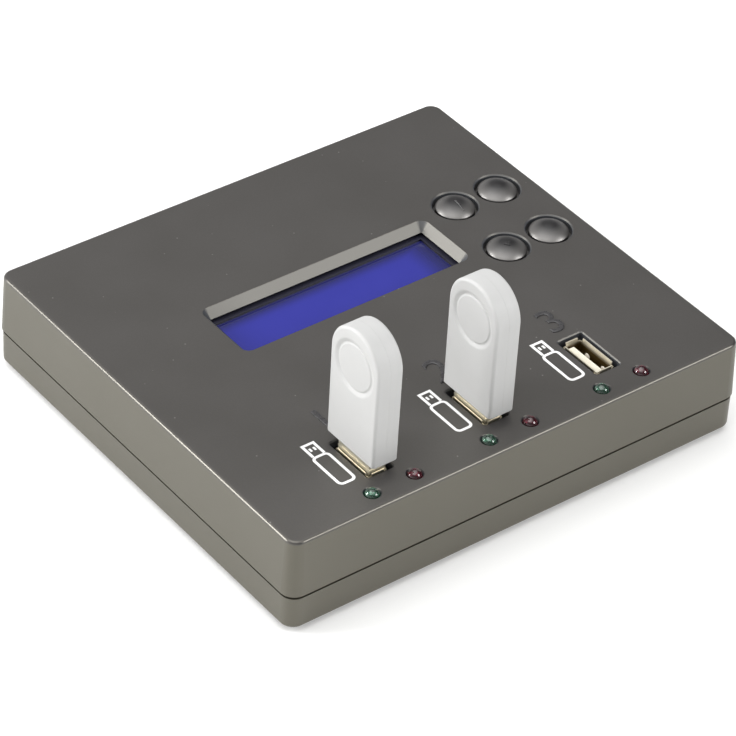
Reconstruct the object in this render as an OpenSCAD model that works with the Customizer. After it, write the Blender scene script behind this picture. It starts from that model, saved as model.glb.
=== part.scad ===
// Desktop duplicator for memory sticks. A moulded two-part case carries a display, four push
// buttons and three upright sockets with two lights each. Two memory sticks are plugged in.
// Millimetres. +X runs along the display, +Y to the back, +Z up, and z = 0 is the desk.

/* [Case] */
// Width of the case at the seam
case_w = 138.9; // [130:0.1:170]
// Depth of the case at the seam
case_d = 125.8; // [120:0.1:160]
// Height of the lid, from the seam to the deck
lid_h = 16.25; // [15:0.05:24]
// Height of the tray below the seam
tray_h = 9.15; // [8:0.05:18]
// Shadow gap between lid and tray
seam_gap = 0.9; // [0.2:0.05:1.2]
// How far each lid wall leans in between the seam and the deck
lid_lean = 0.7; // [0.1:0.1:1.5]
// How far the tray wall stands back from the lid at the seam
tray_step = 0.3; // [0.05:0.05:0.8]
// Thickness of the lid's side walls
wall = 2.2; // [1.6:0.1:3]
// Thickness of the deck
deck_t = 2.4; // [1.8:0.1:3]
// Thickness of the tray's floor
floor_t = 2; // [1.6:0.1:3]
// Corner radius of the case seen from above, at the seam
corner_r = 3.9; // [3.2:0.1:8]
// Rounding of the edge around the deck
top_edge_r = 0.9; // [0.4:0.1:2]
// Rounding of the edge around the underside
tray_edge_r = 1; // [0.4:0.1:1.6]
// Height of the tray's lip inside the lid
lip_h = 2; // [1:0.1:3]
// Thickness of the lip
lip_t = 1; // [0.8:0.1:1.6]
// Gap between the lip and the lid's wall
lip_clear = 0.25; // [0.2:0.05:0.5]

/* [Feet and screws] */
// Diameter of a rubber foot
foot_d = 10; // [6:0.5:14]
// Height of a foot below the tray
foot_h = 1.5; // [1:0.1:4]
// Depth of the pocket that a foot is glued into
foot_pocket = 0.6; // [0.3:0.1:1]
// Distance of a foot from the sides of the case
foot_inset = 22; // [18:0.5:30]
// Shank diameter of the case screws
case_screw_d = 3; // [2:0.1:4]
// Head diameter of the case screws
case_head_d = 5.6; // [5:0.1:6.4]
// Head height of the case screws
case_head_h = 2; // [1.2:0.1:3]
// Diameter of the posts that the case screws go through
post_d = 8.6; // [8.2:0.1:9.6]
// Distance of the posts from the sides of the case
post_inset = 8.6; // [8.4:0.1:12]
// Length of case screw held in the lid
case_grip = 6; // [4:0.5:9]
// Shank diameter of the board and display screws
small_screw_d = 2; // [1.6:0.1:2.6]
// Head diameter of the board and display screws
small_head_d = 3.8; // [3:0.1:4.4]
// Head height of the board and display screws
small_head_h = 1.4; // [1:0.1:2]
// Diameter of the bosses for the small screws
small_boss_d = 5; // [4.4:0.1:6]
// Length of board screw held in its standoff
board_grip = 4.5; // [3:0.5:5.5]
// Distance of the board's standoffs from the left and right sides
standoff_inset_x = 11.5; // [10:0.5:16]
// Distance of the board's standoffs from the front and back
standoff_inset_y = 23; // [20:0.5:30]

/* [Display] */
// Width of the window at the bottom of its bevel
window_w = 66.2; // [56:0.1:72]
// Depth of the window at the bottom of its bevel, front to back
window_d = 16; // [12:0.1:18]
// Width of the bevel around the window
window_bevel = 2.05; // [0.5:0.05:3]
// Corner radius at the bottom of the bevel
window_r = 0.4; // [0.2:0.1:1]
// Distance of the window's centre line behind the row of sockets
window_from_ports = 56.6; // [52:0.1:64]
// Distance from the window's bevel to the nearest column of buttons
window_to_button = 10.3; // [9.5:0.1:14]
// Band of bezel that shows beside the window, at each end
view_inset_w = 0.85; // [0.2:0.05:2]
// Band of bezel that shows beside the window, at front and back
view_inset_d = 0.9; // [0.2:0.05:2]
// Gap between the deck and the display's bezel
display_gap = 1.2; // [0.3:0.1:2]
// Height of the bezel above the display's board
bezel_h = 5.2; // [4.6:0.1:6.4]
// Sheet thickness of the bezel
bezel_t = 0.5; // [0.3:0.05:0.8]
// Thickness of the display's glass
glass_t = 2.2; // [1.6:0.1:3]
// Glass hidden under the bezel at each end
glass_border_w = 2.6; // [1:0.1:4]
// Glass hidden under the bezel at front and back
glass_border_d = 4.2; // [2:0.1:5]
// Board that shows beyond the bezel at each end
display_margin_w = 4.4; // [3.4:0.1:6]
// Board that shows beyond the bezel at front and back
display_margin_d = 5.9; // [5.4:0.1:8]
// Thickness of the display's board
display_board_t = 1.6; // [1:0.1:2]
// Spacing of the display's soldered pins
pin_pitch = 2.54; // [2:0.01:3]

/* [Buttons] */
// Spacing of the two columns of buttons
button_pitch_x = 13.9; // [13.8:0.1:18]
// Spacing of the two rows of buttons
button_pitch_y = 21.2; // [14:0.1:28]
// Distance of the outer column from the right side
button_from_right = 11.05; // [10.6:0.05:16]
// How far the buttons' centre lies in front of the window's centre line
button_forward = 0.7; // [-3:0.1:3]
// Diameter of a button hole in the deck
button_hole_d = 12.1; // [10:0.1:12.6]
// Width of the bevel around a button hole
button_rim = 0.35; // [0.1:0.05:0.6]
// Gap around a button cap
button_clear = 0.8; // [0.2:0.05:1]
// Depth of the cap's edge below the deck
button_sink = 0.55; // [0.4:0.05:1.4]
// Height of the cap's dome above its edge
dome_h = 2.3; // [0.5:0.1:3]
// Rounding of the cap's rim
cap_rim_r = 0.5; // [0.3:0.1:2]
// Thickness of the cap's top and its flange
cap_t = 1; // [0.7:0.1:1.4]
// How far the cap's flange reaches under the deck
flange_reach = 0.5; // [0.3:0.1:0.55]
// Travel of a button
button_travel = 0.5; // [0.2:0.05:1]
// Diameter of the stem under a cap
stem_d = 3.6; // [2.5:0.1:5]
// Width of a switch body
switch_w = 6; // [5:0.1:7]
// Height of a switch body
switch_h = 3.5; // [3:0.1:4.5]
// Diameter of a switch plunger
plunger_d = 3.4; // [2:0.1:4]
// Height of a plunger above its switch body
plunger_h = 1.5; // [1.2:0.1:2.5]

/* [Sockets] */
// Spacing of the sockets
port_pitch = 35; // [30:0.1:38]
// Distance of the row of sockets from the front
port_from_front = 18.3; // [17:0.1:24]
// Size of a socket hole in the deck, left to right
port_hole_w = 7.8; // [7.4:0.1:9]
// Size of a socket hole in the deck, front to back
port_hole_l = 15.4; // [14.8:0.1:17]
// Depth of a socket's mouth below the deck
port_recess = 0.45; // [0.1:0.05:1]
// Height of a socket above the board
socket_h = 13.8; // [13:0.1:15]
// Inside of a socket, left to right
socket_in_w = 5.12; // [5:0.02:5.3]
// Inside of a socket, front to back
socket_in_l = 12.5; // [12.4:0.05:13]
// Sheet thickness of a socket
socket_t = 0.3; // [0.2:0.05:0.4]
// How far the mouth of a socket flares out
flare = 0.2; // [0.1:0.05:0.6]
// Height of the flare
flare_h = 0.9; // [0.5:0.1:2]
// Cut at each corner, between two of the flared lips
lip_notch = 0.7; // [0.4:0.1:1.2]
// Thickness of the tongue inside a socket
tongue_t = 1.84; // [1.6:0.02:1.86]
// Width of the tongue
tongue_l = 11.1; // [9.6:0.1:11.3]
// Depth of the tongue's end below the mouth
tongue_recess = 1.3; // [0.8:0.1:3]
// Height of the block at the foot of the tongue
socket_base_h = 3; // [2:0.1:4]

/* [Lights] */
// Diameter of a light
light_d = 4; // [2:0.1:4]
// Diameter of the collar at the foot of a light
light_collar_d = 4.8; // [4.2:0.1:4.9]
// Height of a light
light_h = 5.6; // [4:0.1:7]
// Diameter of a light's hole in the deck
light_hole_d = 4.2; // [4.1:0.1:5]
// Height of a light's top above the deck
light_rise = 1.2; // [0:0.05:1.4]
// Distance of a light from its socket's centre line
light_offset = 6.3; // [6:0.05:8]
// Distance of the lights from the front
light_from_front = 5.75; // [5.6:0.05:7]

/* [Memory sticks] */
// Width of a stick, front to back
stick_w = 18.3; // [17:0.1:22]
// Thickness of a stick, left to right
stick_t = 7.5; // [7:0.1:12]
// Height of a stick's body
stick_h = 35.2; // [32:0.1:50]
// Height of the first body's underside above the deck
stick_lift = 3.2; // [1.5:0.1:6]
// How much deeper the second stick is pushed in
second_deeper = 0.9; // [0:0.1:1.2]
// Rounding of the body's edges
stick_edge_r = 0.8; // [0.5:0.1:2.4]
// Diameter of the finger dish at the face
dish_d = 14.8; // [8:0.1:15]
// Depth of the finger dish
dish_depth = 0.8; // [0.2:0.05:0.9]
// Width of the slope around the finger dish
dish_slope = 1.4; // [0.4:0.1:2]
// Height of the round top's centre above the dish's centre
dish_drop = 1.7; // [0:0.1:4]
// Plug width, front to back
plug_w = 12; // [11.8:0.05:12.1]
// Plug thickness, left to right
plug_t = 4.5; // [4.4:0.02:4.6]
// Sheet thickness of the plug
plug_sheet = 0.3; // [0.2:0.02:0.3]
// Depth of the plug in its socket
plug_depth = 8.35; // [6:0.05:9.2]
// Length of plug held inside the body
plug_root = 7; // [5:0.1:9]

/* [Boards and power] */
// Thickness of the main board
board_t = 1.6; // [1:0.1:2]
// Width of the power jack
jack_w = 9; // [8:0.1:12]
// Height of the power jack
jack_h = 9.4; // [9:0.1:10.2]
// Length of the power jack
jack_l = 14; // [12:0.1:16]
// Bore of the power jack
jack_bore = 5.8; // [5.5:0.1:6.4]
// Diameter of the pin in the power jack
jack_pin_d = 2.1; // [1.3:0.1:2.5]
// Height of the jack's axis above the board
jack_axis_h = 5; // [4.6:0.1:5.4]
// Diameter of the hole in the back wall
jack_hole_d = 8.4; // [7:0.1:8.8]
// Distance of the jack from the left side
jack_from_left = 30; // [22:0.5:44]

/* [Hidden] */
$fn = 64;

// Finishes
case_grey = "#5b5958";
rubber_black = "#26262a";
steel = "#c9c6bd";
board_green = "#2f6b45";
plastic_black = "#1c1c20";
nickel = "#d8d2bd";
gold = "#d2ad5c";
ivory = "#e9e6da";
display_blue = "#4548af";
stick_white = "#efefee";
light_green = "#46785f";
light_red = "#782837";

// Extra length of a cutting shape past the face that it cuts
over = 1;
// Clearance of a screw in its hole
screw_clear = 0.1;
// Solid left between the end of a screw and the far side of its boss
screw_end = 1;
// Depth of a case screw's head inside its recess
head_sink = 0.6;
// Clearance of a part in the pocket that holds it
fit = 0.05;

// Heights, from the desk up
tray_bottom_z = foot_h;
floor_top_z = tray_bottom_z + floor_t;
tray_top_z = tray_bottom_z + tray_h;
lid_bottom_z = tray_top_z + seam_gap;
deck_z = lid_bottom_z + lid_h;
deck_under_z = deck_z - deck_t;
mouth_z = deck_z - port_recess;
board_top_z = mouth_z - socket_h;
board_bottom_z = board_top_z - board_t;
bezel_top_z = deck_under_z - display_gap;
display_board_z = bezel_top_z - bezel_h;
glass_top_z = bezel_top_z - bezel_t;
light_base_z = deck_z + light_rise - light_h;
jack_axis_z = board_top_z + jack_axis_h;

// Inside of the shells
inner_r_min = 0.3;
lid_in_r = max(corner_r - wall, lid_lean + inner_r_min);
lip_out_inset = wall + lip_clear;
tray_in_inset = lip_out_inset + lip_t;
lip_r = max(corner_r - lip_out_inset, lip_t + inner_r_min);
tray_in_r = lip_r - lip_t;

// Places on the deck
port_y = -case_d / 2 + port_from_front;
light_y = -case_d / 2 + light_from_front;
button_right_x = case_w / 2 - button_from_right;
button_left_x = button_right_x - button_pitch_x;
window_x = button_left_x - window_to_button - window_bevel - window_w / 2;
window_y = port_y + window_from_ports;
button_mid_y = window_y - button_forward;
button_back_y = button_mid_y + button_pitch_y / 2;
button_front_y = button_mid_y - button_pitch_y / 2;
port_corner_r = 0.6;
port_rim = 0.3;
light_rim = 0.2;
function port_x(i) = window_x + (i - 2) * port_pitch;

// Display
view_w = window_w - 2 * view_inset_w;
view_d = window_d - 2 * view_inset_d;
glass_w = view_w + 2 * glass_border_w;
glass_d = view_d + 2 * glass_border_d;
bezel_w = glass_w + 2 * (fit + bezel_t);
bezel_d = glass_d + 2 * (fit + bezel_t);
display_board_w = bezel_w + 2 * display_margin_w;
display_board_d = bezel_d + 2 * display_margin_d;
boss_to_bezel = 0.6;
display_hole_y = bezel_d / 2 + boss_to_bezel + small_boss_d / 2;
display_hole_x = bezel_w / 2 - small_boss_d / 8;
display_grip = display_gap + bezel_h - screw_end;
display_pin_count = 16;
display_pin_w = 0.64;
display_pin_inset = 2.2;

// Buttons
cap_r = button_hole_d / 2 - button_clear;
cap_edge_z = deck_z - button_sink;
dome_r = (cap_r * cap_r + dome_h * dome_h) / (2 * dome_h);
dome_z = cap_edge_z + dome_h - dome_r;
rim_x = cap_r - cap_rim_r;
rim_z = dome_z + sqrt(pow(dome_r - cap_rim_r, 2) - rim_x * rim_x);
rim_land = 0.1;
cap_under_z = min(cap_edge_z - cap_t, rim_z - rim_land);
flange_r = button_hole_d / 2 + flange_reach;
flange_rest_gap = 0.1;
flange_top_z = deck_under_z - flange_rest_gap;
flange_bottom_z = flange_top_z - cap_t;
plunger_top_z = board_top_z + switch_h + plunger_h;
plunger_hold = 1.2;
plunger_clear = 0.2;

// Sockets
socket_out_w = socket_in_w + 2 * socket_t;
socket_out_l = socket_in_l + 2 * socket_t;
socket_in_r = 0.3;
socket_out_r = socket_in_r + socket_t;
mating_gap = 0.03;
contact_w = 1;
contact_t = 0.2;
contact_stop = 0.8;
contact_places = [-3.5, -1, 1, 3.5];
finger_places = [-3.1, 3.1];
finger_r = 1;
finger_reach = 0.2;
finger_drop = 3.9;

// Lights
light_collar_h = 1;
lead_w = 0.5;
lead_pitch = 2.54;
spacer_wall = 0.35;

// Memory sticks, measured from the middle of the body's underside
function stick_z(i) = deck_z + stick_lift - (i == 2 ? second_deeper : 0);
arch_z = stick_h - stick_w / 2;
plug_out = stick_lift + port_recess + plug_depth;
plug_in_w = plug_w - 2 * plug_sheet;
plug_in_t = plug_t - 2 * plug_sheet;
plug_contact_x = 0.05;
stick_floor = 2;
stick_room_side = 0.8;
stick_room_w = plug_w + 2 * stick_room_side;
stick_room_top = arch_z;
stick_board_t = 1;
stick_board_side = 0.2;
stick_board_w = plug_w - 2 * stick_board_side;
stick_board_gap = 1;
stick_chip_h = 1.2;
stick_chip_w = 9;
stick_chip_l = 10;
plug_window_w = 2.4;
plug_window_h = 2;
plug_window_up = 5.2;

// Boards
board_edge_clear = 0.6;
board_inset = tray_in_inset + board_edge_clear;
board_w = case_w - 2 * board_inset;
board_d = case_d - 2 * board_inset;
board_post_clear = 0.6;
jack_x = -case_w / 2 + jack_from_left;
jack_clear = 0.2;
jack_front_y = case_d / 2 - tray_in_inset - jack_clear;
jack_wall = 3;
jack_pin_sink = 1;

// Quarter or other slice of a disc between two angles, for rounding the corner of a profile
module pie(centre, r, from, to) {
    middle = (from + to) / 2;
    translate(centre)
    intersection() {
        circle(r);
        polygon([
            [0, 0],
            2 * r * [cos(from), sin(from)],
            3 * r * [cos(middle), sin(middle)],
            2 * r * [cos(to), sin(to)]
        ]);
    }
}

// Rounded rectangle from pieces that only share edges
module rounded_rect(w, d, r) {
    square([w - 2 * r, d], center = true);
    for (side = [-1, 1])
        translate([side * (w - r) / 2, 0])
            square([r, d - 2 * r], center = true);
    for (turn = [0 : 3]) {
        side_x = turn == 0 || turn == 3 ? 1 : -1;
        side_y = turn < 2 ? 1 : -1;
        pie([side_x * (w / 2 - r), side_y * (d / 2 - r)], r, 90 * turn, 90 * turn + 90);
    }
}

// Block whose sides and corners all follow one profile. The profile is drawn as distance out from
// the corner's axis against height, and reaches r where the block measures w by d.
module profiled_block(w, d, r, low, high) {
    span_x = w - 2 * r;
    span_y = d - 2 * r;
    translate([-span_x / 2, -span_y / 2, low]) cube([span_x, span_y, high - low]);
    for (turn = [0 : 3]) {
        side_x = turn == 0 || turn == 3 ? 1 : -1;
        side_y = turn < 2 ? 1 : -1;
        along = turn % 2 == 0 ? span_y : span_x;
        reach = turn % 2 == 0 ? span_x / 2 : span_y / 2;
        translate([side_x * span_x / 2, side_y * span_y / 2, 0])
            rotate(90 * turn) rotate_extrude(angle = 90) children();
        rotate(90 * turn) translate([reach, 0, 0])
            rotate([90, 0, 0]) linear_extrude(along, center = true) children();
    }
}

// Plain upright block with rounded corners
module rounded_block(w, d, r, low, high) {
    profiled_block(w, d, r, low, high)
        translate([0, low]) square([r, high - low]);
}

// Opening with a bevel at its upper edge
module bevelled_opening(w, d, r, bevel, drop, low, top) {
    rise = bevel / drop * over;
    profiled_block(w, d, r, low - over, top + over)
        polygon([
            [0, low - over], [r, low - over], [r, top - drop],
            [r + bevel + rise, top + over], [0, top + over]
        ]);
}

// Copies at the four corners, a given distance in from the sides of the case
module at_corners(inset_x, inset_y) {
    for (side_x = [-1, 1], side_y = [-1, 1])
        translate([side_x * (case_w / 2 - inset_x), side_y * (case_d / 2 - inset_y), 0])
            children();
}

// Copies at the four screw holes of the display's board
module at_display_holes() {
    for (side_x = [-1, 1], side_y = [-1, 1])
        translate([window_x + side_x * display_hole_x, window_y + side_y * display_hole_y, 0])
            children();
}

// Copies at the four buttons
module at_buttons() {
    for (x = [button_left_x, button_right_x], y = [button_front_y, button_back_y])
        translate([x, y, 0]) children();
}

// Copies at the six lights
module at_lights() {
    for (i = [1 : 3], side = [-1, 1])
        translate([port_x(i) + side * light_offset, light_y, 0]) children();
}

// Upright rod or bore between two heights
module upright(d, low, high) {
    translate([0, 0, low]) cylinder(d = d, h = high - low);
}

// Screw standing on its head, with a cross recess, its seat at z = 0
module screw(shank_d, shank_l, head_d, head_h) {
    slot_w = head_d / 6;
    slot_l = head_d * 0.6;
    edge = head_h * 0.3;
    difference() {
        union() {
            translate([0, 0, -head_h]) cylinder(d1 = head_d - 2 * edge, d2 = head_d, h = edge);
            translate([0, 0, edge - head_h]) cylinder(d = head_d, h = head_h - edge);
            cylinder(d = shank_d, h = shank_l);
        }
        for (turn = [0, 90])
            rotate(turn) translate([-slot_l / 2, -slot_w / 2, -head_h - over])
                cube([slot_l, slot_w, over + head_h / 2]);
    }
}

// Case

module lid_profile() {
    lean = atan(lid_lean / lid_h);
    centre_z = lid_h - top_edge_r;
    centre_x = corner_r - lid_lean * centre_z / lid_h - top_edge_r / cos(lean);
    centre = [centre_x, centre_z];
    polygon([
        [0, 0], [corner_r, 0], centre + top_edge_r * [cos(lean), sin(lean)],
        centre, [centre_x, lid_h], [0, lid_h]
    ]);
    pie(centre, top_edge_r, lean, 90);
}

module lid_cavity() {
    room_h = lid_h - deck_t;
    slope = lid_lean / lid_h;
    profiled_block(case_w - 2 * wall, case_d - 2 * wall, lid_in_r, -over, room_h)
        polygon([
            [0, -over], [lid_in_r + slope * over, -over],
            [lid_in_r - slope * room_h, room_h], [0, room_h]
        ]);
}

module lid_holes() {
    translate([window_x, window_y, 0])
        bevelled_opening(window_w, window_d, window_r, window_bevel, deck_t, deck_under_z, deck_z);
    for (i = [1 : 3])
        translate([port_x(i), port_y, 0])
            bevelled_opening(port_hole_w, port_hole_l, port_corner_r, port_rim, port_rim,
                deck_under_z, deck_z);
    at_buttons() {
        upright(button_hole_d, deck_under_z - over, deck_z + over);
        translate([0, 0, deck_z - button_rim])
            cylinder(d1 = button_hole_d, d2 = button_hole_d + 4 * button_rim, h = 2 * button_rim);
    }
    at_lights() {
        upright(light_hole_d, deck_under_z - over, deck_z + over);
        translate([0, 0, deck_z - light_rim])
            cylinder(d1 = light_hole_d, d2 = light_hole_d + 4 * light_rim, h = 2 * light_rim);
    }
    translate([jack_x, case_d / 2 - lid_lean - wall - over, jack_axis_z])
        rotate([-90, 0, 0]) cylinder(d = jack_hole_d, h = lid_lean + wall + 2 * over);
}

module top_shell() {
    color(case_grey)
    difference() {
        union() {
            difference() {
                translate([0, 0, lid_bottom_z])
                    profiled_block(case_w, case_d, corner_r, 0, lid_h) lid_profile();
                translate([0, 0, lid_bottom_z]) lid_cavity();
            }
            at_corners(post_inset, post_inset) upright(post_d, tray_top_z, deck_under_z + deck_t / 2);
            at_display_holes() upright(small_boss_d, display_board_z, deck_under_z + deck_t / 2);
        }
        lid_holes();
        at_corners(post_inset, post_inset)
            upright(case_screw_d + screw_clear, tray_top_z - over, tray_top_z + case_grip + screw_end);
        at_display_holes()
            upright(small_screw_d + screw_clear, display_board_z - over,
                display_board_z + display_grip + screw_clear);
    }
}

module tray_profile() {
    r = corner_r - tray_step;
    centre = [r - tray_edge_r, tray_edge_r];
    polygon([
        [0, 0], [centre[0], 0], centre, [r, tray_edge_r], [r, tray_h], [0, tray_h]
    ]);
    pie(centre, tray_edge_r, -90, 0);
}

// Depth of the recess for a case screw's head, and the seat of the head above the desk
head_recess = case_head_h + head_sink;
head_seat_z = tray_bottom_z + head_recess;

module bottom_shell() {
    color(case_grey)
    difference() {
        union() {
            difference() {
                union() {
                    translate([0, 0, tray_bottom_z])
                        profiled_block(case_w - 2 * tray_step, case_d - 2 * tray_step,
                            corner_r - tray_step, 0, tray_h) tray_profile();
                    rounded_block(case_w - 2 * lip_out_inset, case_d - 2 * lip_out_inset, lip_r,
                        floor_top_z, tray_top_z + lip_h);
                }
                rounded_block(case_w - 2 * tray_in_inset, case_d - 2 * tray_in_inset, tray_in_r,
                    floor_top_z, tray_top_z + lip_h + over);
            }
            at_corners(post_inset, post_inset) upright(post_d, tray_bottom_z + floor_t / 2, tray_top_z);
            at_corners(standoff_inset_x, standoff_inset_y)
                upright(small_boss_d, tray_bottom_z + floor_t / 2, board_bottom_z);
        }
        at_corners(post_inset, post_inset) {
            upright(case_screw_d + 2 * screw_clear, tray_bottom_z - over, tray_top_z + over);
            upright(case_head_d + 2 * screw_clear, tray_bottom_z - over, head_seat_z);
        }
        at_corners(standoff_inset_x, standoff_inset_y)
            upright(small_screw_d + screw_clear, board_bottom_z - board_grip - screw_clear,
                board_bottom_z + over);
        at_corners(foot_inset, foot_inset)
            upright(foot_d + 2 * fit, tray_bottom_z - over, tray_bottom_z + foot_pocket);
    }
}

module rubber_feet() {
    edge = foot_h / 3;
    color(rubber_black)
    at_corners(foot_inset, foot_inset) {
        cylinder(d1 = foot_d - 2 * edge, d2 = foot_d, h = edge);
        upright(foot_d, edge, tray_bottom_z + foot_pocket);
    }
}

module case_screws() {
    color(steel)
    at_corners(post_inset, post_inset)
        translate([0, 0, head_seat_z])
            screw(case_screw_d, tray_top_z - head_seat_z + case_grip, case_head_d, case_head_h);
}

module board_screws() {
    color(steel)
    at_corners(standoff_inset_x, standoff_inset_y)
        translate([0, 0, board_top_z]) rotate([180, 0, 0])
            screw(small_screw_d, board_t + board_grip, small_head_d, small_head_h);
}

module display_screws() {
    color(steel)
    at_display_holes()
        translate([0, 0, display_board_z - display_board_t])
            screw(small_screw_d, display_board_t + display_grip, small_head_d, small_head_h);
}

// Main board and what is soldered to it

module main_board() {
    notch = post_inset - board_inset + post_d / 2 + board_post_clear;
    color(board_green)
    difference() {
        translate([-board_w / 2, -board_d / 2, board_bottom_z]) cube([board_w, board_d, board_t]);
        at_corners(board_inset, board_inset)
            translate([-notch, -notch, board_bottom_z - over])
                cube([2 * notch, 2 * notch, board_t + 2 * over]);
        at_corners(standoff_inset_x, standoff_inset_y)
            upright(small_screw_d + 2 * screw_clear, board_bottom_z - over, board_top_z + over);
    }
}

// Row of small parts between the sockets and the display
parts_row_back = 22;
parts_row_y = port_y + parts_row_back;

// Flat chip with a pin mark in one corner
module chip(w, d, h) {
    mark_d = w / 8;
    mark_depth = h / 8;
    difference() {
        translate([-w / 2, -d / 2, 0]) cube([w, d, h]);
        translate([mark_d - w / 2, d / 2 - mark_d, h - mark_depth]) cylinder(d = mark_d, h = over);
    }
}

controller_w = 14;
controller_h = 1.4;

module controller_chip() {
    color(plastic_black)
    translate([window_x, parts_row_y, board_top_z]) chip(controller_w, controller_w, controller_h);
}

memory_w = 6;
memory_d = 5;
memory_h = 1.6;
memory_gap = 10;

module memory_chip() {
    color(plastic_black)
    translate([window_x + controller_w / 2 + memory_gap, parts_row_y, board_top_z])
        chip(memory_w, memory_d, memory_h);
}

crystal_l = 11;
crystal_d = 4.6;
crystal_h = 3.4;
crystal_gap = 6;

module clock_crystal() {
    color(steel)
    translate([window_x - controller_w / 2 - crystal_gap - crystal_l / 2, parts_row_y, board_top_z])
        linear_extrude(crystal_h) rounded_rect(crystal_l, crystal_d, crystal_d / 2 - inner_r_min);
}

capacitor_d = 6.3;
capacitor_h = 7;
capacitor_gap = 9;

module capacitors() {
    vent_w = capacitor_d / 12;
    vent_depth = vent_w / 2;
    color(plastic_black)
    for (i = [1, 2])
        translate([jack_x + jack_w / 2 + i * capacitor_gap, jack_front_y - jack_l / 2, board_top_z])
            difference() {
                cylinder(d = capacitor_d, h = capacitor_h);
                for (turn = [0, 90])
                    rotate(turn) translate([-capacitor_d / 3, -vent_w / 2, capacitor_h - vent_depth])
                        cube([capacitor_d * 2 / 3, vent_w, over]);
            }
}

regulator_w = 6.5;
regulator_d = 3.5;
regulator_h = 1.7;
regulator_tab = 2;

module voltage_regulator() {
    x = jack_x + jack_w / 2 + 3 * capacitor_gap;
    color(plastic_black)
    translate([x, jack_front_y - jack_l / 2, board_top_z]) {
        translate([0, -regulator_d / 2, 0]) cube([regulator_w, regulator_d, regulator_h]);
        translate([regulator_w / 4, regulator_d / 2, 0])
            cube([regulator_w / 2, regulator_tab, regulator_h / 4]);
    }
}

module power_jack_body() {
    color(plastic_black)
    difference() {
        translate([jack_x - jack_w / 2, jack_front_y - jack_l, board_top_z])
            cube([jack_w, jack_l, jack_h]);
        translate([jack_x, jack_front_y - jack_l + jack_wall, jack_axis_z])
            rotate([-90, 0, 0]) cylinder(d = jack_bore, h = jack_l);
    }
}

module power_jack_pin() {
    pin_l = jack_l - jack_wall - jack_pin_sink;
    tip = jack_pin_d / 4;
    color(nickel)
    translate([jack_x, jack_front_y - jack_l + jack_wall, jack_axis_z]) rotate([-90, 0, 0]) {
        cylinder(d = jack_pin_d, h = pin_l - tip);
        translate([0, 0, pin_l - tip]) cylinder(d1 = jack_pin_d, d2 = jack_pin_d - 2 * tip, h = tip);
    }
}

// Sockets

module at_socket(i) {
    translate([port_x(i), port_y, board_top_z]) children();
}

// Round dimple of a socket's spring, bulging from the wall towards the plug
module socket_finger(y) {
    root_r = sqrt(finger_r * finger_r - pow(finger_r - finger_reach, 2));
    translate([socket_in_w / 2, y, socket_h - finger_drop]) rotate([0, -90, 0])
        rotate_extrude() {
            intersection() {
                translate([0, finger_reach - finger_r]) circle(finger_r);
                square([finger_r, finger_reach]);
            }
            translate([0, -socket_t / 2]) square([root_r, socket_t / 2]);
        }
}

// Cuts that part the flared lips at the corners of a socket's mouth
module lip_notches() {
    inside = [socket_in_w / 2 - lip_notch, socket_in_l / 2 - lip_notch];
    for (side_x = [-1, 1], side_y = [-1, 1])
        translate([side_x * (inside[0] + over), side_y * (inside[1] + over), socket_h])
            cube([2 * over, 2 * over, 2 * flare_h], center = true);
}

module socket_shell(i) {
    flare_over = flare / flare_h * over;
    color(nickel)
    at_socket(i) {
        difference() {
            profiled_block(socket_out_w, socket_out_l, socket_out_r, 0, socket_h)
                polygon([
                    [0, 0], [socket_out_r, 0], [socket_out_r, socket_h - flare_h],
                    [socket_out_r + flare, socket_h], [0, socket_h]
                ]);
            profiled_block(socket_in_w, socket_in_l, socket_in_r, -over, socket_h + over)
                polygon([
                    [0, -over], [socket_in_r, -over], [socket_in_r, socket_h - flare_h],
                    [socket_in_r + flare + flare_over, socket_h + over], [0, socket_h + over]
                ]);
            lip_notches();
        }
        for (y = finger_places) socket_finger(y);
    }
}

// Contact strips of a socket, lying flush in the face of its tongue
module socket_strips() {
    for (y = contact_places)
        translate([-mating_gap - contact_t, y - contact_w / 2, socket_base_h])
            cube([contact_t, contact_w, socket_h - tongue_recess - contact_stop - socket_base_h]);
}

module socket_insulator(i) {
    tongue_h = socket_h - tongue_recess;
    color(ivory)
    at_socket(i)
        difference() {
            union() {
                rounded_block(socket_in_w - 2 * fit, socket_in_l - 2 * fit, socket_in_r, 0, socket_base_h);
                translate([-mating_gap - tongue_t, -tongue_l / 2, socket_base_h / 2])
                    cube([tongue_t, tongue_l, tongue_h - socket_base_h / 2]);
            }
            socket_strips();
        }
}

module socket_contacts() {
    color(gold)
    for (i = [1 : 3]) at_socket(i) socket_strips();
}

// Display

module display_board() {
    low = display_board_z - display_board_t;
    color(board_green)
    difference() {
        translate([window_x - display_board_w / 2, window_y - display_board_d / 2, low])
            cube([display_board_w, display_board_d, display_board_t]);
        at_display_holes()
            upright(small_screw_d + 2 * screw_clear, low - over, display_board_z + over);
    }
}

// Block centred on the display
module display_block(w, d, low, high) {
    translate([window_x - w / 2, window_y - d / 2, low]) cube([w, d, high - low]);
}

module display_bezel() {
    color(plastic_black)
    difference() {
        display_block(bezel_w, bezel_d, display_board_z, bezel_top_z);
        display_block(glass_w + 2 * fit, glass_d + 2 * fit, display_board_z - over, glass_top_z);
        display_block(view_w, view_d, display_board_z, bezel_top_z + over);
    }
}

module display_glass() {
    color(display_blue) display_block(glass_w, glass_d, glass_top_z - glass_t, glass_top_z);
}

module display_backlight() {
    color(ivory) display_block(glass_w, glass_d, display_board_z, glass_top_z - glass_t);
}

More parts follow.
